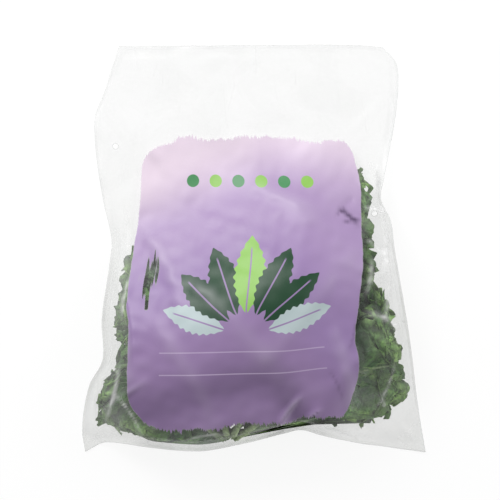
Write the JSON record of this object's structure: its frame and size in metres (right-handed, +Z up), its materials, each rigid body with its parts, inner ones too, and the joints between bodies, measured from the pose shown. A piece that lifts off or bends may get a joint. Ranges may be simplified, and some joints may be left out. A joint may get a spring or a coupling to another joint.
{
  "type": "bagged kale bunch",
  "caption": "Bunch of fresh curly kale leaves packed flat in a clear film bag with a lilac printed front panel.",
  "frame": {"origin": "on the surface that the bag lies on, under the centre of its bounding box", "axes": "+X across the bag to the right, +Y along the bag from its bottom weld to its top weld, +Z up through the printed front"},
  "size_m": [0.2951, 0.3502, 0.0699],
  "materials": {
    "film": "clear glossy film, printed lilac on the front",
    "leaf": "matte green curly leaf with paler ribs"
  },
  "bodies": {
    "root": {"bag_film": "film", "kale_leaf_01": "leaf", "kale_leaf_02": "leaf", "kale_leaf_03": "leaf", "kale_leaf_04": "leaf", "kale_leaf_05": "leaf", "kale_leaf_06": "leaf", "kale_leaf_07": "leaf", "kale_leaf_08": "leaf", "kale_leaf_09": "leaf", "kale_leaf_10": "leaf", "kale_leaf_11": "leaf", "kale_leaf_12": "leaf", "kale_leaf_13": "leaf", "kale_leaf_14": "leaf", "kale_leaf_15": "leaf", "kale_leaf_16": "leaf"}
  },
  "joints": []
}
